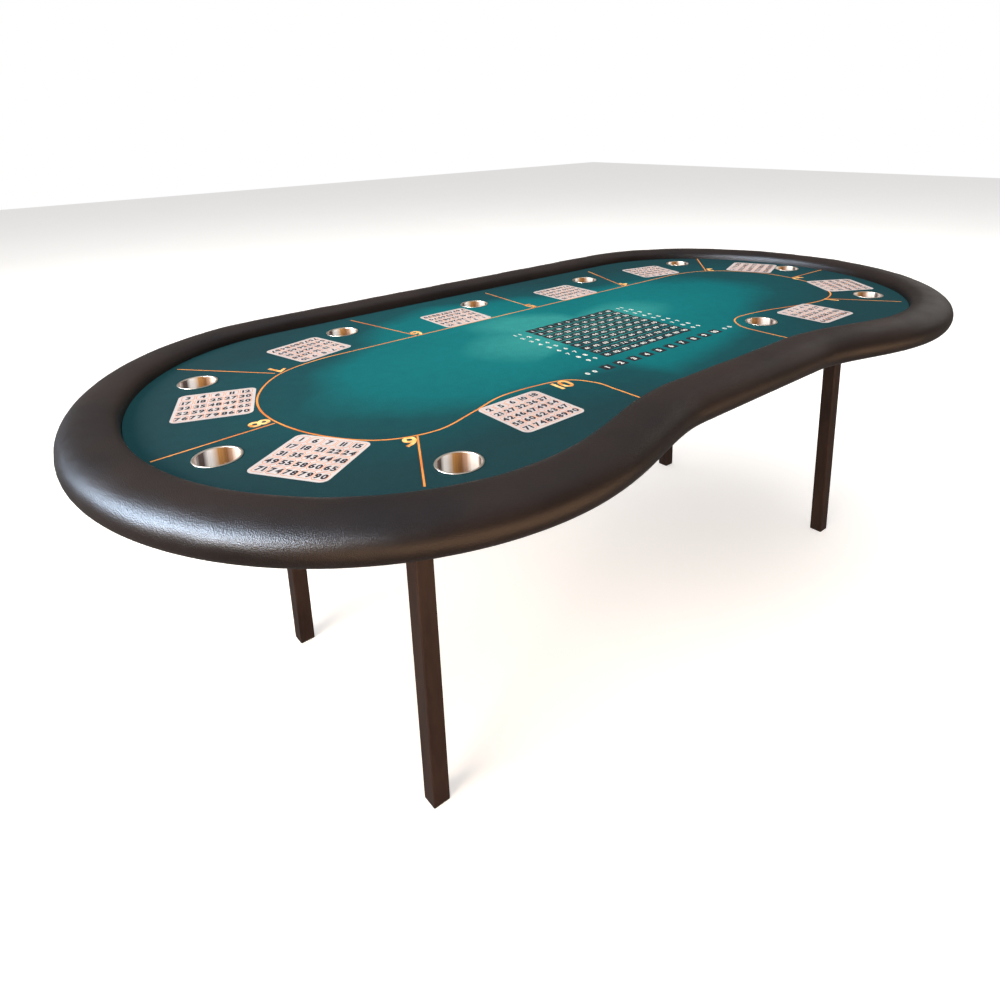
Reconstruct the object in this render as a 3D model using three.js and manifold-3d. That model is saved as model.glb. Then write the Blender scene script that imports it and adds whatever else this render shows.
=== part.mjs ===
// Ten-seat poker table: a kidney-shaped padded top on four folding square-tube legs.
// Millimetres, +Z up, floor at z = 0, origin under the middle of the top.
// +X runs along the table, -Y is the waisted side where the dealer sits.
import * as THREE from 'three';
import { mergeVertices } from 'three/addons/utils/BufferGeometryUtils.js';
import { LoftGeometry } from 'three/addons/geometries/LoftGeometry.js';
import Module from 'manifold-3d';

const wasm = await Module();
wasm.setup();

// ---------------------------------------------------------------- driving dimensions
const GAP = 0.3;                  // clearance between pieces that touch
const EMBED = 1;                  // how far the parts of one piece run into each other

// outline of the playing recess, the inner wall of the rail
const RECESS_HALF_LENGTH = 1058.5;
const RECESS_HALF_DEPTH = 526;    // straight back edge, and the two front lobes
const END_Y = -13;                // where the ends are widest
const BACK_CORNER_X = 606;        // the back edge is straight up to here
const LOBE_X = 597;               // lowest point of each front lobe
const WAIST_X = 203;              // half length of the dealer's straight stretch
const WAIST_Y = -445;
const WAIST_EASE = 0.36;          // how gently the lobe runs into the waist
const STATIONS = 60;              // facets round the table

// heights
const FELT_TOP = 757.5;
const FELT_THICK = 1.2;
const FOAM_THICK = 4;
const BOARD_THICK = 15;
const BASE_THICK = 18;

// rail section: distances out from the recess wall, heights above the felt
const RAIL_WIDTH = 107.4;
const CROWN_OUT = 36.6;
const CROWN_UP = 29;
const INNER_EDGE_UP = 23.5;
const INNER_EDGE_RADIUS = 9;
const BULGE_UP = -12;             // height of the widest point
const RAIL_BOTTOM_UP = -41.5;
const RAIL_BOTTOM_OUT = 84;
const VINYL_THICK = 2;
const VINYL_FLAP_OUT = 58;        // the vinyl is stapled under the base panel from here
const BOARD_OUT = -0.5;           // edge of the playing board, its underlay and the cloth
const BASE_OUT = 72;              // edge of the base panel
const CORE_IN = 6;
const CORE_OUT = 84;
const CORE_THICK = 28;
const OUTER_STEPS = { edge: 2, crown: 4, tuck: 3 };   // facets in the rail's outer line
const INNER_STEPS = { edge: 1, crown: 3, tuck: 2 };   // and in the coarser lines inside it
const FULLNESS = 0.9;             // below 1 squares the crown off slightly

// drop-in cups, numbered by seat, anticlockwise from the dealer's right
const CUP_CENTRES = [
  [358, -293], [816, -351], [995, 20], [816, 348], [392, 395],
  [-56, 396], [-470, 405], [-867, 272], [-954, -127], [-676, -418],
];
const CUP_RIM_RADIUS = 40;
const CUP_WALL_RADIUS = 37.4;
const CUP_WALL = 1.2;
const CUP_DEPTH = 66;
const CUP_LIP = 1.5;
const CUP_HOLE_RADIUS = 38.2;
const CUP_SIDES = 16;

// legs
const LEG_XS = [-692, 745];
const LEG_YS = [-298, 322];
const TUBE = 37;
const TUBE_WALL = 2;
const TUBE_CORNER = 2.5;
const PIVOT_Z = 664;
const TUBE_TOP_ABOVE_PIVOT = 34;
const PLUG_THICK = 3;
const PLUG_INSERT = 16;
const PLUG_RELIEF = 0.2;          // the plug's flange stands back this much from the tube's faces

// folding bracket
const PLATE = { inward: 82, outward: 30, width: 120, thick: 4 };
const CHEEK_THICK = 3;
const CHEEK_HALF_LENGTH = 27;
const CHEEK_BELOW_PIVOT = 17;
const STOP_THICK = 3;
const STOP_ABOVE_TUBE = 8;        // the web clears the folded leg by this much
const PIN_RADIUS = 4.2;
const PIN_FIT = 0.15;             // clearance in the cheeks
const PIN_HOLE_RADIUS = 4.7;      // hole in the tube
const PIN_HEAD_RADIUS = 8;
const PIN_HEAD_THICK = 3;
const PIN_SIDES = 12;
const SCREW_ABOVE_PIVOT = 15.5;   // the clamp screw presses on the tube here
const BOLT_INSET = 14;            // bracket bolts, in from the plate's edges

// clamp knob: a threaded stud, a collar and a five-lobed grip
const KNOB = { stud: 2.6, collar: 7, valley: 9, lobe: 15, lobes: 5, thick: 14, stand: 6 };
const KNOB_LOBE_STEPS = 6;
const KNOB_HOLE_FIT = 0.4;
const STUD_SIDES = 8;

// bolts
const BRACKET_BOLT = { radius: 3.6, hole: 4.2, head: 7.5, headThick: 5, length: 19 };
const RAIL_BOLT = { radius: 3.0, hole: 3.6, head: 9, headThick: 3, length: 40 };
const BOLT_SIDES = 6;
const RAIL_BOLT_OUT = 44;
const RAIL_BOLT_STATIONS = [5, 15, 24, 36, 45, 55];

const steel = { roughness: 0.35, metalness: 1 };

// ---------------------------------------------------------------- helpers
const table = new THREE.Group();

function addPiece(name, geometry, look) {
  const mesh = new THREE.Mesh(geometry, new THREE.MeshStandardMaterial(look));
  mesh.name = name;
  table.add(mesh);
  return mesh;
}

// A closed mesh reduced to shared positions, as booleans need it.
function sealed(geometry) {
  const bare = new THREE.BufferGeometry().copy(geometry);
  bare.deleteAttribute('normal');
  bare.deleteAttribute('uv');
  return mergeVertices(bare, 1e-3);
}

function toSolid(geometry) {
  const bare = sealed(geometry);
  return new wasm.Manifold(new wasm.Mesh({
    numProp: 3,
    vertProperties: new Float32Array(bare.attributes.position.array),
    triVerts: new Uint32Array(bare.index.array),
  }));
}

function toGeometry(solid) {
  const mesh = solid.getMesh();
  const geometry = new THREE.BufferGeometry();
  geometry.setAttribute('position', new THREE.BufferAttribute(mesh.vertProperties, 3));
  geometry.setIndex(new THREE.BufferAttribute(mesh.triVerts, 1));
  return geometry;
}

function joinAll(geometries) {
  return geometries.map(toSolid).reduce((sum, solid) => sum.add(solid));
}

function box(x0, x1, y0, y1, z0, z1) {
  const geometry = new THREE.BoxGeometry(x1 - x0, y1 - y0, z1 - z0);
  return geometry.translate((x0 + x1) / 2, (y0 + y1) / 2, (z0 + z1) / 2);
}

// A cylinder along Y.
function rod(radius, y0, y1, sides = PIN_SIDES) {
  return new THREE.CylinderGeometry(radius, radius, y1 - y0, sides).translate(0, (y0 + y1) / 2, 0);
}

function circlePath(x, y, radius, sides) {
  const points = [];
  for (let i = 0; i < sides; i += 1) {
    const angle = (2 * Math.PI * i) / sides;
    points.push(new THREE.Vector2(x + radius * Math.cos(angle), y + radius * Math.sin(angle)));
  }
  return new THREE.Path(points);
}

function slab(shape, z0, z1) {
  const geometry = new THREE.ExtrudeGeometry(shape, { depth: z1 - z0, bevelEnabled: false });
  return geometry.translate(0, 0, z0);
}

// ---------------------------------------------------------------- kidney outline
function recessPath() {
  const halfEnd = RECESS_HALF_LENGTH - BACK_CORNER_X;
  const halfLobe = RECESS_HALF_LENGTH - LOBE_X;
  const up = RECESS_HALF_DEPTH - END_Y;
  const down = RECESS_HALF_DEPTH + END_Y;
  const ease = WAIST_EASE * (LOBE_X - WAIST_X);
  const lobeY = -RECESS_HALF_DEPTH;
  const quarter = Math.PI / 2;
  const path = new THREE.Path();
  path.moveTo(0, RECESS_HALF_DEPTH);
  path.lineTo(-BACK_CORNER_X, RECESS_HALF_DEPTH);
  path.absellipse(-BACK_CORNER_X, END_Y, halfEnd, up, quarter, 2 * quarter, false);
  path.absellipse(-LOBE_X, END_Y, halfLobe, down, 2 * quarter, 3 * quarter, false);
  path.bezierCurveTo(-LOBE_X + ease, lobeY, -WAIST_X - ease, WAIST_Y, -WAIST_X, WAIST_Y);
  path.lineTo(WAIST_X, WAIST_Y);
  path.bezierCurveTo(WAIST_X + ease, WAIST_Y, LOBE_X - ease, lobeY, LOBE_X, lobeY);
  path.absellipse(LOBE_X, END_Y, halfLobe, down, 3 * quarter, 4 * quarter, false);
  path.absellipse(BACK_CORNER_X, END_Y, halfEnd, up, 0, quarter, false);
  path.lineTo(0, RECESS_HALF_DEPTH);
  return path;
}

// Stations round the recess: a point on its wall and the direction out of it.
const stations = [];
const recess = recessPath();
for (let i = 0; i < STATIONS; i += 1) {
  const at = recess.getPointAt(i / STATIONS);
  const along = recess.getTangentAt(i / STATIONS);
  stations.push({ at, outward: new THREE.Vector2(along.y, -along.x) });
}

function offsetPoint(station, out) {
  return station.at.clone().addScaledVector(station.outward, out);
}

function outlinePoints(out) {
  return stations.map((station) => offsetPoint(station, out));
}

// A ring with a closed section, [out, up] points anticlockwise, swept round the recess.
function railRing(section) {
  const rings = stations.map((station) => section.map(([out, up]) => {
    const point = offsetPoint(station, out);
    return new THREE.Vector3(point.x, point.y, FELT_TOP + up);
  }));
  rings.push(rings[0]);
  return sealed(new LoftGeometry(rings));
}

// ---------------------------------------------------------------- rail
// The rail's outer line from the foot of its inner wall over the crown to its underside,
// moved in by a skin thickness.
function railLine(inset, steps) {
  const line = [];
  const bend = INNER_EDGE_RADIUS - inset;
  for (let i = 0; i <= steps.edge; i += 1) {
    const angle = Math.PI - (i / steps.edge) * (Math.PI / 2);
    line.push([
      INNER_EDGE_RADIUS + bend * Math.cos(angle),
      INNER_EDGE_UP - INNER_EDGE_RADIUS + bend * Math.sin(angle),
    ]);
  }
  line.push([CROWN_OUT, CROWN_UP - inset]);
  const over = RAIL_WIDTH - inset - CROWN_OUT;
  const rise = CROWN_UP - inset - BULGE_UP;
  for (let i = 1; i <= steps.crown; i += 1) {
    const angle = (Math.PI / 2) * (1 - i / steps.crown);
    line.push([
      CROWN_OUT + over * Math.cos(angle) ** FULLNESS,
      BULGE_UP + rise * Math.sin(angle) ** FULLNESS,
    ]);
  }
  const tuck = RAIL_WIDTH - inset - RAIL_BOTTOM_OUT;
  const drop = BULGE_UP - (RAIL_BOTTOM_UP + inset);
  for (let i = 1; i <= steps.tuck; i += 1) {
    const angle = (Math.PI / 2) * (i / steps.tuck);
    line.push([RAIL_BOTTOM_OUT + tuck * Math.cos(angle), BULGE_UP - drop * Math.sin(angle)]);
  }
  return line;
}

const boardBottomUp = -FELT_THICK - FOAM_THICK - BOARD_THICK - 2 * GAP;
const baseTopUp = boardBottomUp - GAP;
const baseBottomUp = baseTopUp - BASE_THICK;
const coreTopUp = boardBottomUp + CORE_THICK;

function makeRail() {
  const vinyl = { color: 0x2a221f, roughness: 0.42, metalness: 0 };
  const foam = { color: 0x8f8f8a, roughness: 0.95, metalness: 0 };
  const ply = { color: 0xb08a5c, roughness: 0.8, metalness: 0 };

  const outer = railLine(0, OUTER_STEPS);
  const inner = railLine(VINYL_THICK, INNER_STEPS);
  const cover = [
    [0, boardBottomUp],
    ...outer,
    [VINYL_FLAP_OUT, RAIL_BOTTOM_UP],
    [VINYL_FLAP_OUT, RAIL_BOTTOM_UP + VINYL_THICK],
    ...inner.reverse(),
    [VINYL_THICK, boardBottomUp],
  ];
  addPiece('rail_cover', railRing(cover), vinyl);

  const filling = railLine(VINYL_THICK + GAP, INNER_STEPS);
  filling[0][1] = coreTopUp + GAP;
  const padding = [
    ...filling,
    [BASE_OUT + GAP, RAIL_BOTTOM_UP + VINYL_THICK + GAP],
    [BASE_OUT + GAP, boardBottomUp - GAP],
    [CORE_OUT + GAP, boardBottomUp - GAP],
    [CORE_OUT + GAP, coreTopUp + GAP],
  ];
  addPiece('rail_foam', railRing(padding), foam);

  const ring = new THREE.Shape(outlinePoints(CORE_OUT));
  ring.holes.push(new THREE.Path(outlinePoints(CORE_IN)));
  for (const [x, y] of railBoltCentres) {
    ring.holes.push(circlePath(x, y, RAIL_BOLT.hole, BOLT_SIDES));
  }
  const coreBottom = FELT_TOP + boardBottomUp;
  addPiece('rail_core', slab(ring, coreBottom, FELT_TOP + coreTopUp), ply);
}

// ---------------------------------------------------------------- playing surface and base
function panel(out, z0, z1, boltCircles) {
  const shape = new THREE.Shape(outlinePoints(out));
  for (const [x, y] of CUP_CENTRES) {
    shape.holes.push(circlePath(x, y, CUP_HOLE_RADIUS, CUP_SIDES));
  }
  for (const [x, y, radius] of boltCircles) {
    shape.holes.push(circlePath(x, y, radius, BOLT_SIDES));
  }
  return slab(shape, z0, z1);
}

function makePanels() {
  const felt = { color: 0x1d6a70, roughness: 0.9, metalness: 0 };
  const foam = { color: 0x3a3a3a, roughness: 0.95, metalness: 0 };
  const ply = { color: 0xb08a5c, roughness: 0.8, metalness: 0 };
  const blackPly = { color: 0x1c1a19, roughness: 0.6, metalness: 0 };

  const foamTop = FELT_TOP - FELT_THICK - GAP;
  const boardTop = foamTop - FOAM_THICK - GAP;
  const baseTop = FELT_TOP + baseTopUp;
  addPiece('printed_felt', panel(BOARD_OUT, FELT_TOP - FELT_THICK, FELT_TOP, []), felt);
  addPiece('foam_underlay', panel(BOARD_OUT, foamTop - FOAM_THICK, foamTop, []), foam);
  addPiece('playing_board', panel(BOARD_OUT, boardTop - BOARD_THICK, boardTop, []), ply);

  const bolts = [
    ...railBoltCentres.map(([x, y]) => [x, y, RAIL_BOLT.hole]),
    ...LEGS.flatMap((leg) => bracketBoltCentres(leg).map(([x, y]) => [x, y, BRACKET_BOLT.hole])),
  ];
  addPiece('base_panel', panel(BASE_OUT, baseTop - BASE_THICK, baseTop, bolts), blackPly);
}

// ---------------------------------------------------------------- cups
function makeCup(name, x, y) {
  const inside = CUP_WALL_RADIUS - CUP_WALL;
  const rest = GAP;
  const profile = [
    [0, -CUP_DEPTH],
    [CUP_WALL_RADIUS, -CUP_DEPTH],
    [CUP_WALL_RADIUS, rest],
    [CUP_RIM_RADIUS, rest],
    [CUP_RIM_RADIUS, rest + CUP_LIP],
    [inside, rest + CUP_LIP],
    [inside, -CUP_DEPTH + CUP_WALL],
    [0, -CUP_DEPTH + CUP_WALL],
  ].map(([radius, height]) => new THREE.Vector2(radius, height));
  const geometry = new THREE.LatheGeometry(profile, CUP_SIDES).rotateX(Math.PI / 2);
  const cup = addPiece(name, sealed(geometry), { color: 0xc9c5be, ...steel });
  cup.position.set(x, y, FELT_TOP);
}

// ---------------------------------------------------------------- bolts
const railBoltCentres = RAIL_BOLT_STATIONS.map((index) => {
  const point = offsetPoint(stations[index], RAIL_BOLT_OUT);
  return [point.x, point.y];
});

// A bolt driven up from below: its head hangs under z, its shank stands above it.
function makeBolt(name, x, y, z, bolt, headSides) {
  const head = new THREE.CylinderGeometry(bolt.head, bolt.head, bolt.headThick, headSides);
  head.rotateX(Math.PI / 2).translate(0, 0, -GAP - bolt.headThick / 2);
  const shankLength = bolt.length + bolt.headThick / 2;
  const shank = new THREE.CylinderGeometry(bolt.radius, bolt.radius, shankLength, BOLT_SIDES);
  shank.rotateX(Math.PI / 2).translate(0, 0, bolt.length - GAP - shankLength / 2);
  const mesh = addPiece(name, toGeometry(joinAll([head, shank])), { color: 0x8a8a88, ...steel });
  mesh.position.set(x, y, z);
}

// ---------------------------------------------------------------- legs
// inward is the way the foot swings to fold, outer is the side away from the table's middle.
const LEGS = [
  { name: 'front_left', x: LEG_XS[0], y: LEG_YS[0], inward: 1, outer: -1 },
  { name: 'front_right', x: LEG_XS[1], y: LEG_YS[0], inward: -1, outer: -1 },
  { name: 'back_left', x: LEG_XS[0], y: LEG_YS[1], inward: 1, outer: 1 },
  { name: 'back_right', x: LEG_XS[1], y: LEG_YS[1], inward: -1, outer: 1 },
];

function bracketBoltCentres(leg) {
  const xs = [leg.inward * (PLATE.inward - BOLT_INSET), -leg.inward * (PLATE.outward - BOLT_INSET)];
  const dy = PLATE.width / 2 - BOLT_INSET;
  return xs.flatMap((dx) => [[leg.x + dx, leg.y - dy], [leg.x + dx, leg.y + dy]]);
}

function squareRing(outer, corner, holeHalf) {
  const half = outer / 2;
  const shape = new THREE.Shape();
  shape.moveTo(half, -half + corner);
  shape.lineTo(half, half - corner);
  shape.absarc(half - corner, half - corner, corner, 0, Math.PI / 2, false);
  shape.lineTo(-half + corner, half);
  shape.absarc(-half + corner, half - corner, corner, Math.PI / 2, Math.PI, false);
  shape.lineTo(-half, -half + corner);
  shape.absarc(-half + corner, -half + corner, corner, Math.PI, 1.5 * Math.PI, false);
  shape.lineTo(half - corner, -half);
  shape.absarc(half - corner, -half + corner, corner, 1.5 * Math.PI, 2 * Math.PI, false);
  if (holeHalf > 0) {
    const h = holeHalf;
    shape.holes.push(new THREE.Path([
      new THREE.Vector2(-h, -h), new THREE.Vector2(-h, h),
      new THREE.Vector2(h, h), new THREE.Vector2(h, -h),
    ]));
  }
  return shape;
}

function cornered(shape, z0, z1) {
  const options = { depth: z1 - z0, bevelEnabled: false, curveSegments: 2 };
  return new THREE.ExtrudeGeometry(shape, options).translate(0, 0, z0);
}

function makeLeg(leg) {
  const paint = { color: 0x2b211e, roughness: 0.5, metalness: 0.3 };
  const rubber = { color: 0x141312, roughness: 0.8, metalness: 0 };
  const holeHalf = TUBE / 2 - TUBE_WALL;
  const tubeShape = squareRing(TUBE, TUBE_CORNER, holeHalf);
  const topZ = PIVOT_Z + TUBE_TOP_ABOVE_PIVOT;
  const body = toSolid(cornered(tubeShape, PLUG_THICK + GAP, topZ));
  const pinHole = rod(PIN_HOLE_RADIUS, -TUBE, TUBE).translate(0, 0, PIVOT_Z);
  const tube = addPiece(`leg_tube_${leg.name}`, toGeometry(body.subtract(toSolid(pinHole))), paint);
  tube.position.set(leg.x, leg.y, 0);

  const flange = cornered(squareRing(TUBE - 2 * PLUG_RELIEF, TUBE_CORNER, 0), 0, PLUG_THICK);
  const reach = holeHalf - GAP;
  const insert = box(-reach, reach, -reach, reach, PLUG_THICK / 2, PLUG_THICK + PLUG_INSERT);
  const plug = addPiece(`foot_plug_${leg.name}`, toGeometry(joinAll([flange, insert])), rubber);
  plug.position.set(leg.x, leg.y, 0);
}

function makeBracket(leg) {
  const paint = { color: 0x1b1a19, roughness: 0.45, metalness: 0.6 };
  const plateTop = FELT_TOP + baseBottomUp - GAP;
  const plateBottom = plateTop - PLATE.thick;
  const plateEnds = [leg.inward * PLATE.inward, -leg.inward * PLATE.outward];
  const halfY = PLATE.width / 2;
  const cheekIn = TUBE / 2 + GAP;
  const cheekOut = cheekIn + CHEEK_THICK;

  const parts = [
    box(Math.min(...plateEnds), Math.max(...plateEnds), -halfY, halfY, plateBottom, plateTop),
  ];
  for (const side of [-1, 1]) {
    const shape = new THREE.Shape();
    shape.moveTo(-CHEEK_HALF_LENGTH, plateBottom + PLATE.thick / 2);
    shape.lineTo(-CHEEK_HALF_LENGTH, PIVOT_Z);
    shape.absellipse(0, PIVOT_Z, CHEEK_HALF_LENGTH, CHEEK_BELOW_PIVOT, Math.PI, 2 * Math.PI, false);
    shape.lineTo(CHEEK_HALF_LENGTH, plateBottom + PLATE.thick / 2);
    shape.holes.push(circlePath(0, PIVOT_Z, PIN_RADIUS + PIN_FIT, PIN_SIDES));
    const options = { depth: CHEEK_THICK, bevelEnabled: false, curveSegments: 6 };
    const cheek = new THREE.ExtrudeGeometry(shape, options).rotateX(Math.PI / 2);
    parts.push(cheek.translate(0, side > 0 ? cheekOut : -cheekIn, 0));
  }
  // the web that the top of the leg stands against, on the side it folds towards
  const webNear = leg.inward * (TUBE / 2 + GAP);
  const webFar = webNear + leg.inward * STOP_THICK;
  const webBottom = PIVOT_Z + TUBE / 2 + STOP_ABOVE_TUBE;
  parts.push(box(Math.min(webNear, webFar), Math.max(webNear, webFar),
    -cheekIn - EMBED, cheekIn + EMBED, webBottom, plateBottom + EMBED));

  let solid = joinAll(parts);
  for (const [x, y] of bracketBoltCentres(leg)) {
    const hole = rod(BRACKET_BOLT.hole, -2 * PLATE.thick, 2 * PLATE.thick, BOLT_SIDES).rotateX(Math.PI / 2);
    solid = solid.subtract(toSolid(hole.translate(x - leg.x, y - leg.y, plateTop)));
  }
  const screwEnd = leg.outer * TUBE;
  const screwHole = rod(KNOB.stud + KNOB_HOLE_FIT, Math.min(0, screwEnd), Math.max(0, screwEnd));
  screwHole.translate(0, 0, PIVOT_Z + SCREW_ABOVE_PIVOT);
  solid = solid.subtract(toSolid(screwHole));
  const bracket = addPiece(`leg_bracket_${leg.name}`, toGeometry(solid), paint);
  bracket.position.set(leg.x, leg.y, 0);

  bracketBoltCentres(leg).forEach(([x, y], index) => {
    makeBolt(`bracket_bolt_${leg.name}_${index + 1}`, x, y, plateBottom, BRACKET_BOLT, 6);
  });
}

// A riveted pin through both cheeks and the tube.
function makePivotPin(leg) {
  const reach = TUBE / 2 + GAP + CHEEK_THICK + GAP;
  const profile = [
    [0, -reach - PIN_HEAD_THICK],
    [PIN_HEAD_RADIUS - PIN_HEAD_THICK, -reach - PIN_HEAD_THICK],
    [PIN_HEAD_RADIUS, -reach],
    [PIN_RADIUS, -reach],
    [PIN_RADIUS, reach],
    [PIN_HEAD_RADIUS, reach],
    [PIN_HEAD_RADIUS - PIN_HEAD_THICK, reach + PIN_HEAD_THICK],
    [0, reach + PIN_HEAD_THICK],
  ].map(([radius, y]) => new THREE.Vector2(radius, y));
  const geometry = sealed(new THREE.LatheGeometry(profile, PIN_SIDES));
  const pin = addPiece(`pivot_pin_${leg.name}`, geometry, { color: 0x9a9a98, ...steel });
  pin.position.set(leg.x, leg.y, PIVOT_Z);
}

// ---------------------------------------------------------------- clamp knobs
// A five-lobed knob on a screw that presses on the tube through the bracket's outer cheek.
function makeKnob(leg) {
  const cheekFace = TUBE / 2 + GAP + CHEEK_THICK;
  const points = [];
  const steps = KNOB_LOBE_STEPS * KNOB.lobes;
  for (let i = 0; i < steps; i += 1) {
    const angle = (2 * Math.PI * i) / steps;
    const wave = Math.cos(KNOB.lobes * angle);
    const radius = (KNOB.valley + KNOB.lobe) / 2 + wave * (KNOB.lobe - KNOB.valley) / 2;
    points.push(new THREE.Vector2(radius * Math.cos(angle), radius * Math.sin(angle)));
  }
  const shape = new THREE.Shape(points);
  const grip = new THREE.ExtrudeGeometry(shape, { depth: KNOB.thick, bevelEnabled: false });
  grip.rotateX(Math.PI / 2).translate(0, cheekFace + KNOB.stand + KNOB.thick, 0);
  const collar = rod(KNOB.collar, cheekFace + GAP, cheekFace + KNOB.stand + EMBED);
  const stud = rod(KNOB.stud, TUBE / 2 + GAP, cheekFace + KNOB.stand, STUD_SIDES);
  const geometry = toGeometry(joinAll([grip, collar, stud]));
  if (leg.outer < 0) {
    geometry.rotateZ(Math.PI);
  }
  const black = { color: 0x151515, roughness: 0.55, metalness: 0 };
  const knob = addPiece(`clamp_knob_${leg.name}`, geometry, black);
  knob.position.set(leg.x, leg.y, PIVOT_Z + SCREW_ABOVE_PIVOT);
}

// ---------------------------------------------------------------- assembly
makePanels();
makeRail();
CUP_CENTRES.forEach(([x, y], index) => makeCup(`cup_${index + 1}`, x, y));
for (const leg of LEGS) {
  makeLeg(leg);
  makeBracket(leg);
  makePivotPin(leg);
  makeKnob(leg);
}
railBoltCentres.forEach(([x, y], index) => {
  makeBolt(`rail_bolt_${index + 1}`, x, y, FELT_TOP + baseBottomUp, RAIL_BOLT, 12);
});

export default table;
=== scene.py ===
"""Looks of the ten-seat poker table: padded vinyl rail, printed cloth, spun steel cups and painted legs."""

import math
import random

import bmesh
import bpy
import numpy as np
from mathutils import Matrix, Vector


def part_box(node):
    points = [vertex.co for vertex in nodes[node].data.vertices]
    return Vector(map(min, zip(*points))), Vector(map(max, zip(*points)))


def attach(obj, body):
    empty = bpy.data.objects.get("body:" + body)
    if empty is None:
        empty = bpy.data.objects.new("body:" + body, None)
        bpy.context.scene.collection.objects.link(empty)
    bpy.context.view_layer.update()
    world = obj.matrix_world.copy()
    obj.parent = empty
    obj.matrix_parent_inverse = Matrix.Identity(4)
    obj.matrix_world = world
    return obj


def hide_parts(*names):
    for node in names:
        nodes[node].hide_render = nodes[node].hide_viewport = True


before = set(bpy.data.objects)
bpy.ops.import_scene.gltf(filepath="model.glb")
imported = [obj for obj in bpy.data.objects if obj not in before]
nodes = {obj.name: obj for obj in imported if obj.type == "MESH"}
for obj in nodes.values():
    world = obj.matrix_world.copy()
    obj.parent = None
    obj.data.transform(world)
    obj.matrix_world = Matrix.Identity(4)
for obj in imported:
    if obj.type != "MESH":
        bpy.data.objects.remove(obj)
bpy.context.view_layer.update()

# ---------------------------------------------------------------- driving dimensions, metres
MM = 0.001
FELT_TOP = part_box("printed_felt")[1].z
FELT_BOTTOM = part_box("printed_felt")[0].z

# outline of the playing recess, as the CAD part has it
RECESS_HALF_LENGTH = 1058.5 * MM
RECESS_HALF_DEPTH = 526 * MM
END_Y = -13 * MM
BACK_CORNER_X = 606 * MM
LOBE_X = 597 * MM
WAIST_X = 203 * MM
WAIST_Y = -445 * MM
WAIST_EASE = 0.36

# rail section: out from the recess wall, up from the cloth
RAIL_WIDTH = 107.4 * MM
CROWN_OUT = 36.6 * MM
CROWN_UP = 29 * MM
INNER_EDGE_UP = 23.5 * MM
INNER_EDGE_RADIUS = 9 * MM
BULGE_UP = -12 * MM
RAIL_BOTTOM_UP = -41.5 * MM
RAIL_BOTTOM_OUT = 84 * MM
FLAP_OUT = 58 * MM
RAIL_WALL = 2.6 * MM              # vinyl and foam over the inner face of the core
CORE_CLEARANCE = 0.3 * MM
FULLNESS = 0.9
RAIL_STATIONS = 560               # sections round the rail
SECTION_STEP = 9 * MM             # spacing of the points round each section
RAIL_INSET = 1.2 * MM             # the rail starts this much thinner, and swells in the simulation
SWELL_CAP = 2.4 * MM              # the furthest that the simulation may move a point
SWELL_FRAMES = 20
# unevenness of the padding: (millimetres, waves round the rail, phase, twist across the rail)
RAIL_WAVES = ((0.35, 23, 0.4, 2.0), (0.25, 41, 1.9, -3.0), (0.2, 67, 3.1, 4.0))
GATHERS = 148                     # small folds where the vinyl turns under, round the rail
GATHER_DEPTH = 1.1 * MM

STAPLES = 130
STAPLE_OUT = 7 * MM               # from the edge of the vinyl flap
STAPLE_HALF = 5 * MM
STAPLE_WIRE = 0.55 * MM

CLOTH_EDGE_OUT = -1.0 * MM        # the cloth stops just short of the recess wall
CUP_HOLE_RADIUS = 38.2 * MM
CUP_OUTSIDE = 37.4 * MM           # radius of the cup's wall
CUP_INSIDE = 36.2 * MM
CUP_BOTTOM_ROUND = 4 * MM
CUPS = 10

# the print, laid out in units of its own from its own middle
PRINT_UNIT = 150 * MM
CARD_WIDTH = 146 * MM
CARD_HEIGHT = 148 * MM
CARD_CORNER = 14 * MM
CELLS = 5                         # cells in a row of a card, and rows
CELL_PITCH = (27.2 * MM, 27.8 * MM)
HIGHEST_NUMBER = 90
PRINT_MIDDLE = Vector((26.5 * MM, -17.5 * MM))
LINE_WIDTH = 3.8 * MM
INK_STEP = 0.06 * MM              # each ink layer stands this much higher than the one under it
SEAT_NUMBER_HEIGHT = 38 * MM
CARD_NUMBER_HEIGHT = 14 * MM
GRID_NUMBER_HEIGHT = 11 * MM
ROW_NUMBER_HEIGHT = 14 * MM
MARKER_HEIGHT = 12 * MM

# weave of the cloth
THREAD = 1.5 * MM
THREAD_DEPTH = 0.10 * MM
WAVE_PERIOD = 0.314               # a wave texture of scale 1 repeats after this length


# ---------------------------------------------------------------- plane geometry
def ellipse_arc(x, y, rx, ry, start, end, steps=160):
    """Points on an elliptical arc, its angles in quarter turns."""
    angles = np.linspace(start, end, steps) * math.pi / 2
    return np.column_stack([x + rx * np.cos(angles), y + ry * np.sin(angles)])


def bezier(p0, p1, p2, p3, steps=120):
    """Points on a cubic curve from p0 to p3."""
    t = np.linspace(0, 1, steps)[:, None]
    p0, p1, p2, p3 = (np.array(p, float) for p in (p0, p1, p2, p3))
    return (1 - t) ** 3 * p0 + 3 * (1 - t) ** 2 * t * p1 + 3 * (1 - t) * t**2 * p2 + t**3 * p3


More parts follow.
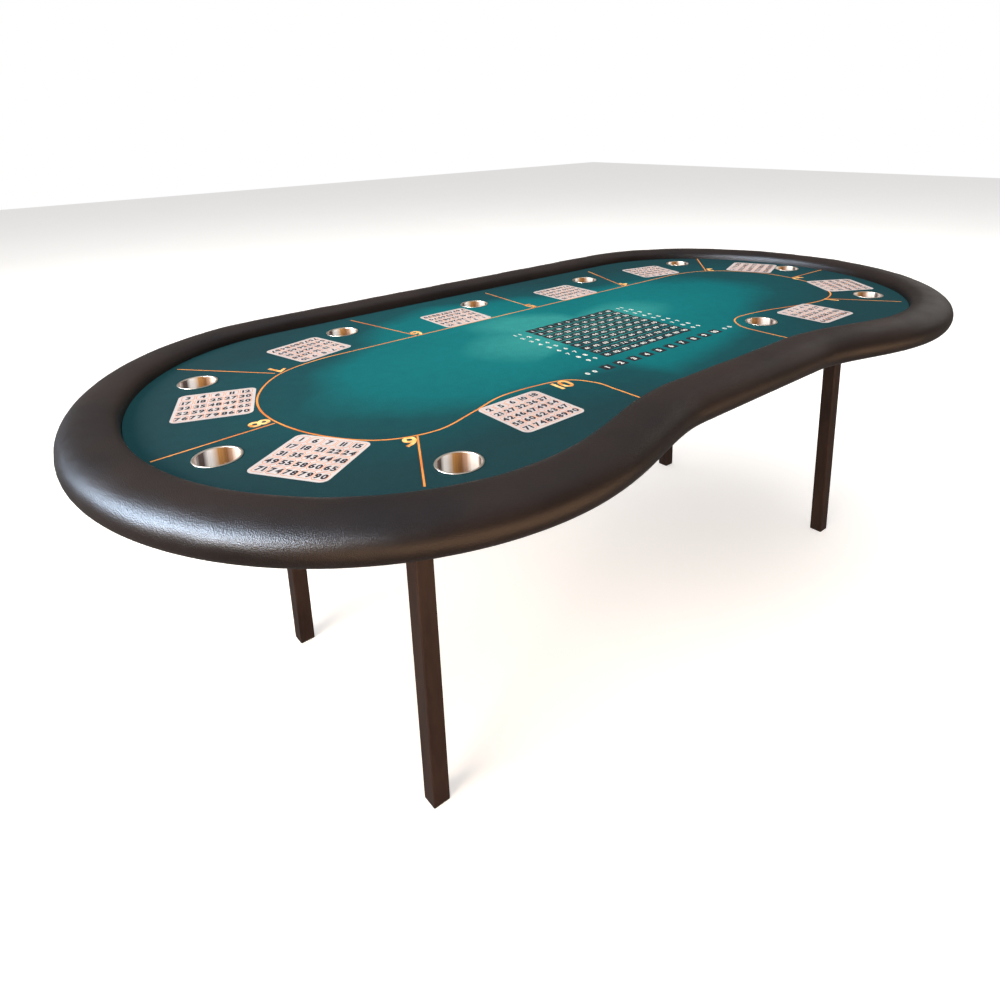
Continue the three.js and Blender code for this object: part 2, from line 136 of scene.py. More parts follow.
def recess_curve():
    """The recess wall seen from above, from the middle of the back edge, anticlockwise."""
    half_end = RECESS_HALF_LENGTH - BACK_CORNER_X
    half_lobe = RECESS_HALF_LENGTH - LOBE_X
    up = RECESS_HALF_DEPTH - END_Y
    down = RECESS_HALF_DEPTH + END_Y
    ease = WAIST_EASE * (LOBE_X - WAIST_X)
    lobe_y = -RECESS_HALF_DEPTH
    into_waist = bezier((-LOBE_X, lobe_y), (-LOBE_X + ease, lobe_y),
                        (-WAIST_X - ease, WAIST_Y), (-WAIST_X, WAIST_Y))
    left = [
        [[0, RECESS_HALF_DEPTH]],
        ellipse_arc(-BACK_CORNER_X, END_Y, half_end, up, 1, 2),
        ellipse_arc(-LOBE_X, END_Y, half_lobe, down, 2, 3),
        into_waist,
    ]
    left = np.vstack(left)
    right = left[::-1] * (-1, 1)
    return np.vstack([left, right[:-1]])


def resampled(points, count, closed):
    """The same line with evenly spaced points, and the direction of the line at each."""
    line = np.vstack([points, points[:1]]) if closed else np.array(points, float)
    steps = np.linalg.norm(np.diff(line, axis=0), axis=1)
    keep = np.append(True, steps > 1e-9)
    line = line[keep]
    travelled = np.append(0, np.cumsum(np.linalg.norm(np.diff(line, axis=0), axis=1)))
    wanted = np.linspace(0, travelled[-1], count, endpoint=not closed)
    even = np.column_stack([np.interp(wanted, travelled, line[:, k]) for k in range(line.shape[1])])
    if closed:
        along = np.roll(even, -1, axis=0) - np.roll(even, 1, axis=0)
    else:
        along = np.gradient(even, axis=0)
    return even, along / np.linalg.norm(along, axis=1)[:, None]


def outline(out, count):
    """The recess wall moved outward, as count points."""
    even, along = resampled(recess_curve(), count, closed=True)
    outward = np.column_stack([along[:, 1], -along[:, 0]])
    return even + outward * out


def smooth_line(points, steps=14):
    """A Catmull-Rom curve through the points."""
    p = [np.array(q, float) for q in points]
    p = [2 * p[0] - p[1], *p, 2 * p[-1] - p[-2]]
    line = []
    for a, b, c, d in zip(p, p[1:], p[2:], p[3:]):
        for t in np.linspace(0, 1, steps, endpoint=False):
            line.append(0.5 * (2 * b + (c - a) * t + (2 * a - 5 * b + 4 * c - d) * t**2
                               + (3 * b - a - 3 * c + d) * t**3))
    line.append(p[-2])
    return np.array(line)


def circle(x, y, radius, count=96):
    """A closed ring of points, anticlockwise."""
    angles = np.linspace(0, 2 * math.pi, count, endpoint=False)
    return np.column_stack([x + radius * np.cos(angles), y + radius * np.sin(angles)])


def rounded_box(width, height, corner, steps=7):
    """A rectangle with round corners, centred on the origin, anticlockwise."""
    points = []
    for quarter, (sx, sy) in enumerate([(1, 1), (-1, 1), (-1, -1), (1, -1)]):
        cx = sx * (width / 2 - corner)
        cy = sy * (height / 2 - corner)
        points.append(ellipse_arc(cx, cy, corner, corner, quarter, quarter + 1, steps))
    return np.vstack(points)


def placed(points, x, y, angle):
    """The points turned about the origin, then moved."""
    c, s = math.cos(angle), math.sin(angle)
    points = np.array(points, float)
    return np.column_stack([
        x + c * points[:, 0] - s * points[:, 1],
        y + s * points[:, 0] + c * points[:, 1],
    ])


# ---------------------------------------------------------------- meshes
def add_object(name, mesh, materials=(), location=(0, 0, 0)):
    piece = bpy.data.objects.new(name, mesh)
    bpy.context.scene.collection.objects.link(piece)
    piece.location = location
    for material in materials:
        mesh.materials.append(material)
    return piece


def mesh_from(name, vertices, faces, smooth=True):
    """A mesh with its faces turned outward."""
    mesh = bpy.data.meshes.new(name)
    mesh.from_pydata([tuple(v) for v in vertices], [], [tuple(f) for f in faces])
    shell = bmesh.new()
    shell.from_mesh(mesh)
    bmesh.ops.recalc_face_normals(shell, faces=shell.faces)
    shell.to_mesh(mesh)
    shell.free()
    if smooth:
        mesh.shade_smooth()
    else:
        mesh.shade_flat()
    return mesh


def revolved(name, profile, segments):
    """A closed solid of revolution about Z. The profile, (radius, height), starts and ends on the axis."""
    inner = profile[1:-1]
    vertices = [(0, 0, profile[0][1])]
    for i in range(segments):
        angle = 2 * math.pi * i / segments
        vertices += [(r * math.cos(angle), r * math.sin(angle), z) for r, z in inner]
    vertices.append((0, 0, profile[-1][1]))
    faces = []
    ring = len(inner)
    for i in range(segments):
        here = 1 + i * ring
        there = 1 + ((i + 1) % segments) * ring
        faces.append((0, here, there))
        faces += [(here + k, here + k + 1, there + k + 1, there + k) for k in range(ring - 1)]
        faces.append((here + ring - 1, len(vertices) - 1, there + ring - 1))
    return mesh_from(name, vertices, faces)


def flat_fill(loops):
    """Triangles that fill the outlines in a plane, with the inner ones as holes."""
    curve = bpy.data.curves.new("fill", "CURVE")
    curve.dimensions = "2D"
    curve.fill_mode = "BOTH"
    for loop in loops:
        spline = curve.splines.new("POLY")
        spline.points.add(len(loop) - 1)
        for point, (x, y) in zip(spline.points, loop):
            point.co = (x, y, 0, 1)
        spline.use_cyclic_u = True
    return flat_mesh_of(curve)


def flat_mesh_of(curve):
    """(points, faces) of a flat curve or text."""
    holder = add_object("flat", curve)
    bpy.context.view_layer.update()
    mesh = bpy.data.meshes.new_from_object(holder.evaluated_get(bpy.context.evaluated_depsgraph_get()))
    points = np.array([v.co[:2] for v in mesh.vertices], float).reshape(-1, 2)
    faces = [list(f.vertices) for f in mesh.polygons]
    bpy.data.objects.remove(holder)
    bpy.data.curves.remove(curve)
    bpy.data.meshes.remove(mesh)
    return points, faces


class Layer:
    """Flat shapes gathered in a plane, made into one thin solid piece."""

    def __init__(self):
        self.points = []
        self.faces = []

    def add(self, points, faces):
        first = len(self.points)
        self.points += [tuple(p) for p in points]
        self.faces += [[first + k for k in f] for f in faces]

    def polygon(self, loop):
        """One flat face."""
        self.add(loop, [list(range(len(loop)))])

    def ring(self, outer, inner):
        """The strip between two closed loops with as many points each."""
        n = len(outer)
        self.add([*outer, *inner], [[i, (i + 1) % n, n + (i + 1) % n, n + i] for i in range(n)])

    def band(self, line, width):
        """A strip along an open line."""
        count = max(2, int(np.linalg.norm(np.diff(line, axis=0), axis=1).sum() / (8 * MM)))
        even, along = resampled(line, count, closed=False)
        side = np.column_stack([-along[:, 1], along[:, 0]]) * width / 2
        n = len(even)
        self.add([*(even + side), *(even - side)], [[i, n + i, n + i + 1, i + 1] for i in range(n - 1)])

    def text(self, words, height, x, y, angle=0.0, weight=0.0):
        points, faces = lettering(words, height, weight)
        self.add(placed(points, x, y, angle), faces)

    def build(self, name, low, high, material):
        """The shapes as solids between two heights."""
        n = len(self.points)
        vertices = [(x, y, high) for x, y in self.points] + [(x, y, low) for x, y in self.points]
        edges = {}
        for face in self.faces:
            for a, b in zip(face, face[1:] + face[:1]):
                edges[(a, b)] = edges.get((b, a), 0) + 1
        border = [(a, b) for (a, b) in edges if (b, a) not in edges]
        faces = self.faces + [[n + k for k in reversed(f)] for f in self.faces]
        faces += [(b, a, n + a, n + b) for a, b in border]
        piece = add_object(name, mesh_from(name, vertices, faces, smooth=False), [material])
        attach(piece, "table_top")
        return piece


GLYPHS = {}                       # the characters made so far
GLYPH_GAP = 0.09                  # in heights of the face, as is the next
WORD_SPACE = 0.3


def glyph(character, weight):
    """(points, faces) of one character in the built-in face, one unit high."""
    key = (character, weight)
    if key not in GLYPHS:
        text = bpy.data.curves.new("glyph", "FONT")
        text.body = character
        text.resolution_u = 3
        text.offset = weight
        GLYPHS[key] = flat_mesh_of(text)
    return GLYPHS[key]


def lettering(words, height, weight):
    """A short text centred on the origin."""
    digit_height = np.ptp(glyph("8", 0.0)[0][:, 1])
    middle = glyph("8", 0.0)[0][:, 1].mean()
    points, faces, x = [], [], 0.0
    for character in words:
        if character == " ":
            x += WORD_SPACE
            continue
        shape, fill = glyph(character, weight)
        left, right = shape[:, 0].min(), shape[:, 0].max()
        first = len(points)
        points += [(px - left + x, py - middle) for px, py in shape]
        faces += [[first + k for k in f] for f in fill]
        x += right - left + GLYPH_GAP
    points = np.array(points)
    points[:, 0] -= (points[:, 0].min() + points[:, 0].max()) / 2
    return points * height / digit_height, faces


# ---------------------------------------------------------------- material helpers
class Finish:
    """A node material: its shader, and short ways to add and join nodes."""

    def __init__(self, name, **constants):
        self.material = bpy.data.materials.new(name)
        self.material.use_nodes = True
        self.tree = self.material.node_tree
        self.shader = self.tree.nodes["Principled BSDF"]
        for socket, value in constants.items():
            self.shader.inputs[socket.replace("_", " ")].default_value = value
        self.place = self.add("ShaderNodeTexCoord").outputs["Object"]

    def add(self, kind, inputs=None, **settings):
        node = self.tree.nodes.new(kind)
        for key, value in settings.items():
            setattr(node, key, value)
        for socket, value in (inputs or {}).items():
            if isinstance(value, bpy.types.NodeSocket):
                self.tree.links.new(value, node.inputs[socket])
            else:
                node.inputs[socket].default_value = value
        return node

    def link(self, output, socket):
        self.tree.links.new(output, self.shader.inputs[socket])

    def stretched(self, scale):
        return self.add("ShaderNodeMapping", {"Vector": self.place, "Scale": scale}).outputs[0]

    def turn(self):
        """0 to 1 round the Z axis, from -X."""
        inputs = {"Vector": self.place}
        return self.add("ShaderNodeTexGradient", inputs, gradient_type="RADIAL").outputs["Fac"]

    # patterns, each a 0 to 1 value over the surface
    def noise(self, scale, detail=3.0, where=None, roughness=0.5):
        inputs = {"Vector": where or self.place, "Scale": scale, "Detail": detail, "Roughness": roughness}
        return self.add("ShaderNodeTexNoise", inputs).outputs["Fac"]

    def streaks(self, along, density):
        """Noise that changes along one number only."""
        inputs = {"W": self.math("MULTIPLY", along, density), "Scale": 1.0, "Detail": 2.0}
        return self.add("ShaderNodeTexNoise", inputs, noise_dimensions="1D").outputs["Fac"]

    def cells(self, scale):
        inputs = {"Vector": self.place, "Scale": scale}
        return self.add("ShaderNodeTexVoronoi", inputs, feature="F1").outputs["Distance"]

    def math(self, operation, a, b=0.0):
        return self.add("ShaderNodeMath", {0: a, 1: b}, operation=operation).outputs[0]

    def ramp(self, value, stops):
        """A colour ramp; each stop is (position, colour)."""
        node = self.add("ShaderNodeValToRGB", {"Fac": value})
        ramp = node.color_ramp
        while len(ramp.elements) < len(stops):
            ramp.elements.new(0.5)
        for element, (position, colour) in zip(ramp.elements, stops):
            element.position = position
            element.color = (*colour, 1.0)
        return node.outputs["Color"]

    def spread(self, value, low, high):
        """A 0 to 1 pattern mapped to low..high."""
        inputs = {"Value": value, "To Min": low, "To Max": high}
        return self.add("ShaderNodeMapRange", inputs).outputs["Result"]

    def mixed(self, factor, a, b, blend="MIX"):
        node = self.add("ShaderNodeMix", data_type="RGBA", blend_type=blend)
        for socket, value in ((node.inputs[0], factor), (node.inputs[6], a), (node.inputs[7], b)):
            if isinstance(value, bpy.types.NodeSocket):
                self.tree.links.new(value, socket)
            else:
                socket.default_value = value
        return node.outputs[2]

    def bump(self, height, distance, strength=1.0, under=None):
        inputs = {"Height": height, "Distance": distance, "Strength": strength}
        if under is not None:
            inputs["Normal"] = under
        return self.add("ShaderNodeBump", inputs).outputs["Normal"]


def linear(value):
    """One channel, 0 to 1, from screen value to linear."""
    return ((value + 0.055) / 1.055) ** 2.4 if value > 0.04 else value / 12.92


def srgb(red, green, blue):
    """Linear colour from 0-255 screen values."""
    return tuple(linear(value / 255) for value in (red, green, blue))


def grey(value):
    return (value, value, value)


# ---------------------------------------------------------------- materials
def vinyl_finish():
    """Upholstery vinyl: small round pebbles with painted shade in the crevices between them, soft gloss,
    faintly uneven brown-black.
    """
    f = Finish("black_vinyl", Roughness=0.38, Specular_IOR_Level=0.3)
    pebbles = f.cells(620.0)
    fine = f.noise(1100.0, 2.0)
    cloudy = f.noise(5.0, 4.0)
    rubbed = f.noise(22.0, 5.0, roughness=0.7)
    colour = f.ramp(cloudy, [(0.3, srgb(20, 14, 12)), (0.7, srgb(33, 24, 20))])
    # painted shade: darker in the crevices between the pebbles
    painted_crease_shade = f.ramp(pebbles, [(0.0, grey(1.0)), (0.75, grey(0.55))])
    f.link(f.mixed(0.6, colour, painted_crease_shade, "MULTIPLY"), "Base Color")
    f.link(f.spread(rubbed, 0.30, 0.46), "Roughness")
    grain = f.bump(pebbles, 0.35 * MM, 0.9)
    f.link(f.bump(fine, 0.05 * MM, 0.5, grain), "Normal")
    return f.material


def woven_bump(f):
    """Crossed threads, as bump."""
    threads = []
    for axis in ("X", "Y"):
        inputs = {"Vector": f.place, "Scale": WAVE_PERIOD / THREAD, "Distortion": 1.2, "Detail": 1.0,
                  "Detail Scale": 3.0}
        threads.append(f.add("ShaderNodeTexWave", inputs, bands_direction=axis).outputs["Fac"])
    return f.bump(f.math("MULTIPLY", *threads), THREAD_DEPTH, 0.6)


# painted window light and shadow on the cloth: how much further its bright middle reaches in some
# directions, by angle from +X in degrees
PAINTED_LIGHT_WEDGES = [
    (-180, 0.0), (-155, 0.0), (-140, -0.16), (-118, -0.14), (-104, 0.04),
    (-70, 0.02), (-25, -0.10), (0, 0.0), (28, 0.02), (58, -0.10),
    (80, 0.04), (112, 0.18), (136, 0.14), (152, 0.0), (180, 0.0),
]


def felt_finish():
    """Printed teal cloth, bright in the middle and dark towards the rail, with soft wedge-shaped patches of
    painted window light and shadow across it.
    """
    f = Finish("printed_cloth", Roughness=0.9, Specular_IOR_Level=0.08)
    low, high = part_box("printed_felt")
    half = (high - low) / 2
    oval = f.stretched((1 / half.x, 1 / half.y, 0.0))
    distance = f.add("ShaderNodeVectorMath", {0: oval}, operation="LENGTH").outputs["Value"]
    # painted light and shadow: by direction, the bright middle reaches further or less far
    painted_light_wedges = f.ramp(f.turn(), [(0.5 + angle / 360, grey(0.5 + shift)) for angle, shift in PAINTED_LIGHT_WEDGES])
    drift = f.noise(2.6, 3.0)
    reach = f.math("ADD", distance, f.spread(painted_light_wedges, 0.5, -0.5))
    reach = f.math("ADD", reach, f.spread(drift, 0.12, -0.12))
    # the print's teal, bright in the middle and dark towards the rail, with the painted light and shadow
    # moving where it turns dark
    print_and_painted_light = f.ramp(reach, [
        (0.18, srgb(44, 134, 133)), (0.34, srgb(8, 104, 109)), (0.60, srgb(6, 95, 101)),
        (0.72, srgb(14, 63, 69)), (1.0, srgb(19, 50, 55)),
    ])
    mottle = f.noise(38.0, 4.0, roughness=0.7)
    cloudy = f.ramp(mottle, [(0.3, grey(0.84)), (0.7, grey(1.0))])
    fleck = f.noise(420.0, 2.0, roughness=0.7)
    shade = f.ramp(fleck, [(0.3, grey(0.62)), (0.7, grey(1.0))])
    toned = f.mixed(0.8, print_and_painted_light, cloudy, "MULTIPLY")
    f.link(f.mixed(0.75, toned, shade, "MULTIPLY"), "Base Color")
    f.link(woven_bump(f), "Normal")
    return f.material


def ink_finish(name, dark, light, patch_scale):
    """Ink printed on the cloth: two close tones in soft patches, with the weave showing through."""
    f = Finish(name, Roughness=0.85, Specular_IOR_Level=0.12)
    patches = f.noise(patch_scale, 3.0)
    tone = f.ramp(patches, [(0.35, dark), (0.65, light)])
    fleck = f.noise(420.0, 2.0, roughness=0.7)
    shade = f.ramp(fleck, [(0.3, grey(0.86)), (0.7, grey(1.0))])
    f.link(f.mixed(0.7, tone, shade, "MULTIPLY"), "Base Color")
    f.link(woven_bump(f), "Normal")
    return f.material


def cup_wall_finish():
    """Spun and polished steel with fine streaks up and down the wall, and painted reflections: upright
    stripes of colour round the wall that also glow faintly.
    """
    # painted light: the wall glows faintly with its own painted reflections
    f = Finish("cup_steel", Metallic=0.35, Roughness=0.22, Anisotropic=0.4, Emission_Strength=0.2)
    turn = f.turn()
    bright, pale, rose = srgb(255, 254, 252), srgb(214, 208, 206), srgb(196, 164, 142)
    gold, bronze, dark = srgb(190, 142, 82), srgb(132, 92, 58), srgb(78, 68, 66)
    # painted reflections: upright stripes of white, rose, bronze, gold and near-black, fixed round the cup's
    # axis
    painted_reflection_bands = [
        (0.0, dark), (0.06, bright), (0.13, rose), (0.18, bronze), (0.23, gold), (0.28, bright),
        (0.34, dark), (0.417, pale), (0.467, dark), (0.50, bright), (0.57, bright), (0.597, rose),
        (0.644, bronze), (0.70, gold), (0.745, bright), (0.775, bright), (0.81, dark),
        (0.855, dark), (0.889, pale), (0.95, rose), (1.0, dark),
    ]
    wander = f.streaks(turn, 30.0)
    fine = f.streaks(turn, 420.0)
    shifted = f.math("FRACT", f.math("ADD", turn, f.spread(wander, -0.015, 0.015)))
    tone = f.ramp(shifted, painted_reflection_bands)
    hair = f.ramp(fine, [(0.35, grey(0.55)), (0.6, grey(1.0))])
    reflections_and_streaks = f.mixed(0.7, tone, hair, "MULTIPLY")
    f.link(reflections_and_streaks, "Base Color")
    # painted glow: the painted reflections are also given out as light
    f.link(reflections_and_streaks, "Emission Color")
    f.link(f.spread(fine, 0.16, 0.32), "Roughness")
    f.link(f.bump(fine, 0.02 * MM, 0.5), "Normal")
    return f.material


def cup_rim_finish():
    """The rolled rim: turned steel with rings, a little warm."""
    f = Finish("cup_rim_steel", Metallic=1.0, Roughness=0.36)
    reach = f.add("ShaderNodeVectorMath", {0: f.stretched((1, 1, 0))}, operation="LENGTH").outputs["Value"]
    rings = f.streaks(reach, 3200.0)
    f.link(f.ramp(rings, [(0.3, srgb(214, 190, 166)), (0.7, srgb(246, 228, 208))]), "Base Color")
    f.link(f.spread(rings, 0.28, 0.44), "Roughness")
    f.link(f.bump(rings, 0.03 * MM, 0.4), "Normal")
    return f.material


def paint_finish(name, dark, light, roughness):
    """Powder coat: fine orange peel, faint scuffs and dust."""
    f = Finish(name, Roughness=roughness, Specular_IOR_Level=0.25)
    peel = f.noise(900.0, 2.0)
    scuffs = f.noise(60.0, 6.0, where=f.stretched((1, 1, 0.15)), roughness=0.75)
    f.link(f.ramp(scuffs, [(0.35, dark), (0.75, light)]), "Base Color")
    f.link(f.spread(scuffs, roughness - 0.08, roughness + 0.14), "Roughness")
    f.link(f.bump(peel, 0.05 * MM, 0.5), "Normal")
    return f.material


def zinc_finish():
    """Zinc plate: pale grey crystals, dulled."""
    f = Finish("zinc_steel", Metallic=1.0, Roughness=0.4)
    flakes = f.cells(700.0)
    smear = f.noise(140.0, 4.0)
    f.link(f.ramp(flakes, [(0.0, srgb(150, 150, 148)), (0.8, srgb(204, 204, 200))]), "Base Color")
    f.link(f.spread(smear, 0.3, 0.55), "Roughness")
    f.link(f.bump(smear, 0.03 * MM, 0.4), "Normal")
    return f.material


def moulded_finish(name, colour):
    """Moulded plastic with a spark-eroded texture."""
    f = Finish(name, Roughness=0.55)
    spark = f.noise(1400.0, 3.0)
    worn = f.noise(90.0, 4.0)
    light = tuple(c * 1.7 + 0.004 for c in colour)
    f.link(f.ramp(worn, [(0.3, colour), (0.8, light)]), "Base Color")
    f.link(f.spread(worn, 0.45, 0.65), "Roughness")
    f.link(f.bump(spark, 0.04 * MM, 0.5), "Normal")
    return f.material


def wood_finish(name, dark, light, roughness):
    """Plywood: long grain along X, with pores."""
    f = Finish(name, Roughness=roughness)
    where = f.stretched((1.2, 26.0, 26.0))
    grain = f.noise(3.0, 6.0, where=where, roughness=0.65)
    pores = f.noise(40.0, 3.0, where=where)
    f.link(f.ramp(grain, [(0.3, dark), (0.7, light)]), "Base Color")
    f.link(f.spread(pores, roughness - 0.1, roughness + 0.1), "Roughness")
    f.link(f.bump(pores, 0.15 * MM, 0.4, f.bump(grain, 0.2 * MM, 0.4)), "Normal")
    return f.material


def foam_finish(name, dark, light):
    """Open-cell foam: small pits, with painted shade in them."""
    f = Finish(name, Roughness=0.95, Specular_IOR_Level=0.2)
    pits = f.cells(900.0)
    # painted shade: darker at the bottom of each pit
    f.link(f.ramp(pits, [(0.0, dark), (0.6, light)]), "Base Color")
    f.link(f.bump(pits, 0.4 * MM, 0.8), "Normal")
    return f.material


VINYL = vinyl_finish()
FELT = felt_finish()
GOLD_INK = ink_finish("gold_ink", srgb(196, 112, 44), srgb(222, 150, 74), 9.0)
SEAT_INK = ink_finish("seat_number_ink", srgb(204, 122, 50), srgb(248, 214, 140), 60.0)
CARD_INK = ink_finish("card_ink", srgb(176, 172, 176), srgb(189, 186, 188), 6.0)
CELL_INK = ink_finish("cell_ink", srgb(186, 104, 42), srgb(210, 140, 78), 60.0)
DIGIT_INK = ink_finish("digit_ink", srgb(26, 24, 32), srgb(38, 34, 42), 30.0)
SQUARE_INK = ink_finish("square_ink", srgb(20, 24, 28), srgb(30, 34, 38), 30.0)
PALE_INK = ink_finish("pale_ink", srgb(190, 196, 196), srgb(216, 218, 216), 30.0)
CUP_WALL_STEEL_AND_REFLECTIONS = cup_wall_finish()
CUP_RIM_STEEL = cup_rim_finish()
LEG_PAINT = paint_finish("leg_paint", srgb(34, 22, 17), srgb(52, 35, 26), 0.42)
BRACKET_PAINT = paint_finish("bracket_paint", srgb(30, 29, 28), srgb(46, 44, 43), 0.45)
ZINC = zinc_finish()
KNOB_PLASTIC = moulded_finish("knob_plastic", srgb(30, 30, 31))
FOOT_PLASTIC = moulded_finish("foot_plastic", srgb(28, 26, 25))
BLACK_PLY = wood_finish("black_panel", srgb(26, 23, 22), srgb(44, 39, 36), 0.6)
RAW_PLY = wood_finish("plywood", srgb(156, 118, 78), srgb(196, 158, 112), 0.7)
UNDERLAY = foam_finish("underlay_foam", srgb(30, 30, 31), srgb(58, 58, 60))


# ---------------------------------------------------------------- padded rail
def rail_line(inset):
    """The rail's skin from the foot of its inner wall over the crown to its underside, (out, up)."""
    line = []
    bend = INNER_EDGE_RADIUS - inset
    for angle in np.linspace(math.pi, math.pi / 2, 12):
        line.append((INNER_EDGE_RADIUS * (1 + math.cos(angle)),
                     INNER_EDGE_UP - INNER_EDGE_RADIUS + bend * math.sin(angle)))
    lift = CROWN_UP - INNER_EDGE_UP
    for t in np.linspace(0.1, 0.9, 8):
        out = INNER_EDGE_RADIUS + t * (CROWN_OUT - INNER_EDGE_RADIUS)
        line.append((out, INNER_EDGE_UP - inset + lift * math.sin(t * math.pi / 2)))
    line.append((CROWN_OUT, CROWN_UP - inset))
    over = RAIL_WIDTH - inset - CROWN_OUT
    rise = CROWN_UP - inset - BULGE_UP
    for angle in np.linspace(math.pi / 2, 0, 40)[1:-1]:
        out = CROWN_OUT + over * math.cos(angle) ** FULLNESS
        line.append((out, BULGE_UP + rise * math.sin(angle) ** FULLNESS))
    tuck = RAIL_WIDTH - inset - RAIL_BOTTOM_OUT
    drop = BULGE_UP - (RAIL_BOTTOM_UP + inset)
    for angle in np.linspace(0, math.pi / 2, 16):
        line.append((RAIL_BOTTOM_OUT + tuck * math.cos(angle), BULGE_UP - drop * math.sin(angle)))
    return np.array(line)


def make_rail():
    """Vinyl over foam, closed round the plywood ring: one padded piece."""
    core_low, core_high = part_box("rail_core")
    base_low, base_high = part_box("base_panel")
    foot = core_low.z - FELT_TOP
    skin = np.vstack([(0.0, foot), rail_line(RAIL_INSET), (FLAP_OUT, RAIL_BOTTOM_UP + RAIL_INSET)])
    length = np.linalg.norm(np.diff(skin, axis=0), axis=1).sum()
    skin, _ = resampled(skin, int(length / SECTION_STEP), closed=False)

    panel_edge = base_high.x - RECESS_HALF_LENGTH + CORE_CLEARANCE
    core_edge = core_high.x - RECESS_HALF_LENGTH + CORE_CLEARANCE
    flap_top = base_low.z - FELT_TOP - CORE_CLEARANCE
    core_bottom = foot - CORE_CLEARANCE
    core_top = core_high.z - FELT_TOP + CORE_CLEARANCE
    pocket = [
        (FLAP_OUT, flap_top), (panel_edge, flap_top), (panel_edge, core_bottom), (core_edge, core_bottom),
    ]
    pocket += [(out, core_top) for out in np.linspace(core_edge, RAIL_WALL, 4)]
    pocket.append((RAIL_WALL, foot))
    section = np.vstack([skin, pocket])

    even, along = resampled(recess_curve(), RAIL_STATIONS, closed=True)
    outward = np.column_stack([along[:, 1], -along[:, 0]])
    n, m = RAIL_STATIONS, len(section)
    vertices = [(*(even[i] + outward[i] * out), FELT_TOP + up) for i in range(n) for out, up in section]
    faces = [(i * m + j, ((i + 1) % n) * m + j, ((i + 1) % n) * m + (j + 1) % m, i * m + (j + 1) % m)
             for i in range(n) for j in range(m)]
    rail = add_object("padded_rail", mesh_from("padded_rail", vertices, faces), [VINYL])

    flap = len(skin) - 2              # the skin is held from here on, with the pocket, and at its other foot
    held = [i * m + j for i in range(n) for j in range(m) if j >= flap or j < 3]
    swell(rail, held)
    settle(rail, section)
    fine = rail.modifiers.new("Fine", "SUBSURF")
    fine.levels = fine.render_levels = 1
    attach(rail, "table_top")
    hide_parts("rail_cover", "rail_foam")


def points_of(mesh):
    """The vertices of a mesh as rows of an array."""
    flat = np.zeros(len(mesh.vertices) * 3)
    mesh.vertices.foreach_get("co", flat)
    return flat.reshape(-1, 3)


def swell(piece, held):
    """Blows the padding out with a short cloth simulation, its stapled edges pinned."""
    rest = points_of(piece.data)
    pins = piece.vertex_groups.new(name="pinned")
    pins.add(held, 1.0, "REPLACE")
    cloth = piece.modifiers.new("Cloth", "CLOTH")
    cloth.settings.quality = 4
    cloth.settings.use_pressure = True
    cloth.settings.uniform_pressure_force = 4.0
    cloth.settings.vertex_group_mass = pins.name
    cloth.settings.effector_weights.gravity = 0.0
    scene = bpy.context.scene
    for step in range(SWELL_FRAMES):
        scene.frame_set(1 + step)
    swollen = points_of(piece.evaluated_get(bpy.context.evaluated_depsgraph_get()).data)
    moved = swollen - rest
    far = np.linalg.norm(moved, axis=1)
    scale = np.where(far > SWELL_CAP, SWELL_CAP / np.maximum(far, 1e-9), 1.0)
    piece.modifiers.remove(cloth)
    piece.vertex_groups.remove(pins)
    piece.data.vertices.foreach_set("co", (rest + moved * scale[:, None]).ravel())
    piece.data.update()
    scene.frame_set(1)


def settle(rail, section):
    """Long shallow unevenness in the padding, and small gathers where the vinyl turns under."""
    points = points_of(rail.data)
    n, m = RAIL_STATIONS, len(section)
    stations = np.repeat(np.arange(n), m) / n * 2 * math.pi
    out = np.tile(section[:, 0], n)
    up = np.tile(section[:, 1], n)
    waves = sum(size * np.sin(count * stations + phase + twist * out / RAIL_WIDTH)
                for size, count, phase, twist in RAIL_WAVES)
    on_top = np.clip((up - BULGE_UP) / (CROWN_UP - BULGE_UP), 0, 1) * np.clip(out / (12 * MM), 0, 1)
    between = (out > 2 * MM) & (out < RAIL_WIDTH - 12 * MM)
    below = (up > RAIL_BOTTOM_UP + 2 * MM) & (up < CROWN_UP - 8 * MM)
    on_top[between & below] = 0       # level at the pocket round the core and at part of the outer shoulder
    points[:, 2] += waves * on_top * MM
    under = (up < RAIL_BOTTOM_UP + 3 * MM) * np.clip((RAIL_WIDTH - out) / (RAIL_WIDTH - FLAP_OUT), 0, 1)
    gathers = np.abs(np.sin(stations * GATHERS / 2 + 1.3 * np.sin(stations * 11)))
    points[:, 2] -= GATHER_DEPTH * gathers * under
    rail.data.vertices.foreach_set("co", points.ravel())
    rail.data.update()


